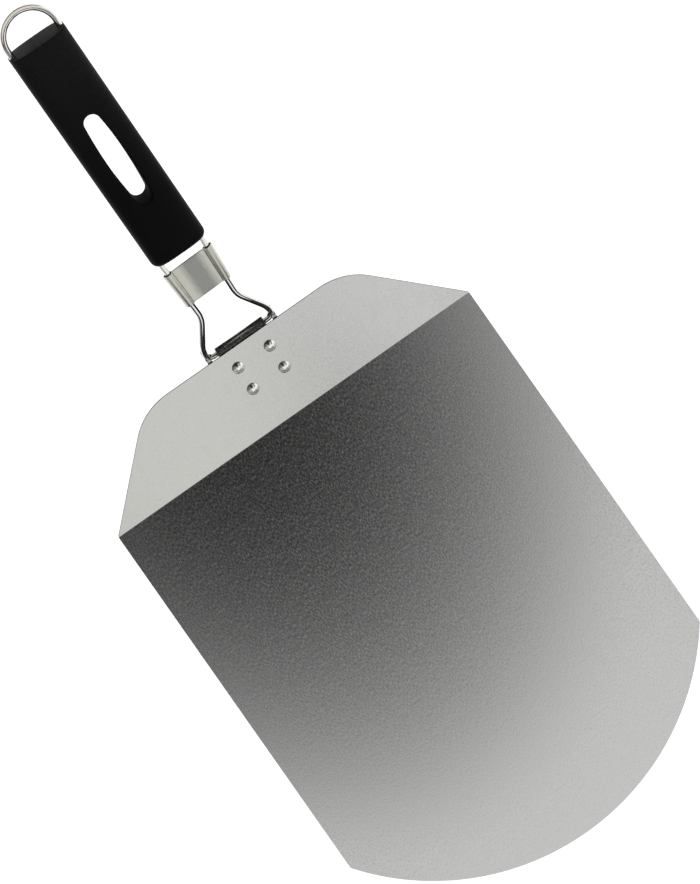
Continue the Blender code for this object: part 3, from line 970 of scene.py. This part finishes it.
def make_sleeve(hinge_place):
    """The collar: an outer and an inner skin, joined at both ends."""
    rings = []
    for row in range(SLEEVE_ROWS + 1):
        share = row / SLEEVE_ROWS
        along = SLEEVE_START + share * (SLEEVE_END - SLEEVE_START)
        lobe = SLEEVE_START_LOBE + share * (SLEEVE_END_LOBE - SLEEVE_START_LOBE)
        spacing = leg_spacing(along) + SLEEVE_SIDE_SHIFT
        rings.append([
            sleeve_ring(along, spacing, lobe - inset, SLEEVE_MIDDLE_HEIGHT - inset)
            for inset in (0, SLEEVE_SHEET)
        ])
    outside = [pair[0] for pair in rings]
    inside = [pair[1] for pair in reversed(rings)]
    piece = make_piece(
        "lock_collar", loft(outside + inside, closed=True), hinge_place,
        [brushed_sleeve_steel()], "sleeve", "lock_sleeve",
    )
    round_edges(piece, SLEEVE_BEVEL, segments=2)
    apply_modifiers(piece)


# ---------------------------------------------------------------- studio

def make_world():
    """A dim grey room."""
    world = bpy.data.worlds.new("room")
    world.use_nodes = True
    background = world.node_tree.nodes["Background"]
    background.inputs["Color"].default_value = PLAIN_LIGHT
    background.inputs["Strength"].default_value = ROOM_STRENGTH
    bpy.context.scene.world = world


def glow_material(name, strength, colour=WARM_LIGHT):
    """An even glow."""
    nodes = Nodes(name)
    nodes.glow_only(nodes.add("ShaderNodeEmission", {"Color": colour, "Strength": strength}))
    return nodes.material


def add_panel(name, place, size, material, lights_room=True):
    """A flat panel of the studio, which the camera doesn't see.

    One that doesn't light the room shows in reflections alone, and casts no shadow.
    """
    bpy.ops.mesh.primitive_plane_add(size=1)
    panel = bpy.context.object
    panel.name = name
    panel.matrix_world = place @ Matrix.Diagonal((*size, 1, 1))
    panel.data.materials.append(material)
    panel.visible_camera = False
    panel.visible_diffuse = lights_room
    panel.visible_shadow = lights_room


def make_softbox(name, centre, size, strength, colour):
    """A glowing panel that faces the peel."""
    centre = Vector(centre)
    facing = (HINGE_AXIS - centre).to_track_quat("Z", "Y").to_matrix().to_4x4()
    place = Matrix.Translation(centre) @ facing
    add_panel(name, place, size, glow_material(name, strength, colour))


def make_loop_box():
    """A creamy panel over the hanging loop, for the warm line along its wire."""
    place = Matrix.Translation(LOOP_BOX_CENTRE)
    glow = glow_material("loop_box", LOOP_BOX_STRENGTH, CREAM_LIGHT)
    add_panel("loop_box", place, LOOP_BOX_SIZE, glow, lights_room=False)


def make_flag(name, place, size):
    """A black flag close to the peel, which shows only in its reflections."""
    add_panel(name, place, size, glow_material(name, FLAG_GLOW), lights_room=False)


def make_standing_flag(name, start, end, hinge_place):
    """A flag that stands on edge in the handle's frame, over a line between two (x, y) points."""
    run = end - start
    middle = (start + end) / 2
    place = Matrix.Translation((middle.x, middle.y, STANDING_FLAG_MIDDLE))
    turn = Matrix.Rotation(atan2(run.y, run.x), 4, "Z")
    make_flag(name, hinge_place @ place @ turn @ UPRIGHT, (run.length, STANDING_FLAG_HEIGHT))


def make_flags(hinge_place):
    """Black flags, which draw the dark lines in the wire and in the hinge's barrel.

    Two stand between the legs, along their splay. One stands in the hanging loop, and one
    lies below its arc. The others stand upright over the heel's edge, close to the hinge.
    """
    for side in (-1, 1):
        foot = Vector((side * SIDE_FLAG_HALF_SPACING, -SIDE_FLAG_START))
        top = Vector((0, -SIDE_FLAG_END))
        make_standing_flag(f"side_flag_{side}", foot, top, hinge_place)
    make_standing_flag(
        "loop_flag", Vector((0, -LOOP_FLAG_END)), Vector((0, -LOOP_FLAG_START)), hinge_place
    )
    place = Matrix.Translation((0, -ARC_FLAG_ALONG, -ARC_FLAG_DROP))
    make_flag("arc_flag", hinge_place @ place, ARC_FLAG_SIZE)
    for number, (x, width, low, high) in enumerate(HINGE_FLAGS, start=1):
        middle = Matrix.Translation((x, HINGE_FLAG_Y, (low + high) / 2))
        make_flag(f"hinge_flag_{number}", middle @ UPRIGHT, (width, high - low))


def make_floor():
    """A pale floor with a glow of its own, so that it comes out evenly white."""
    bpy.ops.mesh.primitive_circle_add(
        vertices=FLOOR_SIDES, radius=FLOOR_RADIUS, fill_type="NGON", location=(0, 0, -FLOOR_DROP)
    )
    floor = bpy.context.object
    floor.name = "floor"
    nodes = Nodes("floor_white")
    nodes.shade({
        "Base Color": FLOOR_COLOUR,
        "Roughness": FLOOR_ROUGHNESS,
        "Specular IOR Level": FLOOR_SPECULAR,
        "Emission Color": PLAIN_LIGHT,
        "Emission Strength": FLOOR_GLOW,
    })
    floor.data.materials.append(nodes.material)


def make_card():
    """A graded card over the peel: a dark oval above the fold that fades to white round it.

    The satin blade mirrors it, dark by the fold and light by the front edge.
    """
    nodes = Nodes("card_grading")
    place = nodes.add("ShaderNodeNewGeometry").outputs["Position"]
    oval_place = nodes.add(
        "ShaderNodeMapping",
        {"Vector": place, "Location": (*OVAL_CENTRE, CARD_HEIGHT), "Scale": (*OVAL_RADII, 1)},
        vector_type="TEXTURE",
    )
    oval = nodes.add(
        "ShaderNodeTexGradient", {"Vector": oval_place.outputs["Vector"]},
        gradient_type="SPHERICAL",
    )
    outward = nodes.math("SUBTRACT", 1.0, oval.outputs["Fac"])
    curve = nodes.math("POWER", outward, OVAL_POWER)
    glow = nodes.add("ShaderNodeEmission", {"Color": PLAIN_LIGHT})
    nodes.feed(glow.inputs["Strength"], nodes.spread(curve, CARD_DARK, CARD_LIGHT, 0, 1))
    nodes.glow_only(glow)
    middle = Matrix.Translation((*CARD_CENTRE, CARD_HEIGHT))
    add_panel("graded_card", middle, CARD_SIZE, nodes.material, lights_room=False)


def make_camera():
    """The camera over the peel, rolled so that the handle points to the upper left."""
    camera = bpy.data.objects.new("camera", bpy.data.cameras.new("camera"))
    camera.data.lens = CAMERA_LENS
    camera.data.sensor_width = CAMERA_SENSOR
    camera.location = CAMERA_PLACE
    turn = (CAMERA_AIM - CAMERA_PLACE).to_track_quat("-Z", "Y")
    camera.rotation_mode = "QUATERNION"
    camera.rotation_quaternion = turn @ Quaternion((0, 0, 1), CAMERA_ROLL)
    bpy.context.scene.collection.objects.link(camera)
    bpy.context.scene.camera = camera


def main():
    """Set up the studio, then build the peel piece by piece."""
    heel_place = place_frame(FOLD_LINE)
    hinge_place = place_frame(HINGE_AXIS)
    make_camera()
    make_world()
    make_floor()
    make_card()
    for softbox in SOFTBOXES:
        make_softbox(*softbox)
    make_flags(hinge_place)
    make_loop_box()
    bpy.context.scene.view_settings.view_transform = "Standard"
    make_blade()
    make_bracket(heel_place)
    make_rivets(heel_place)
    make_wire_frame(hinge_place)
    make_grip(hinge_place)
    make_sleeve(hinge_place)


main()
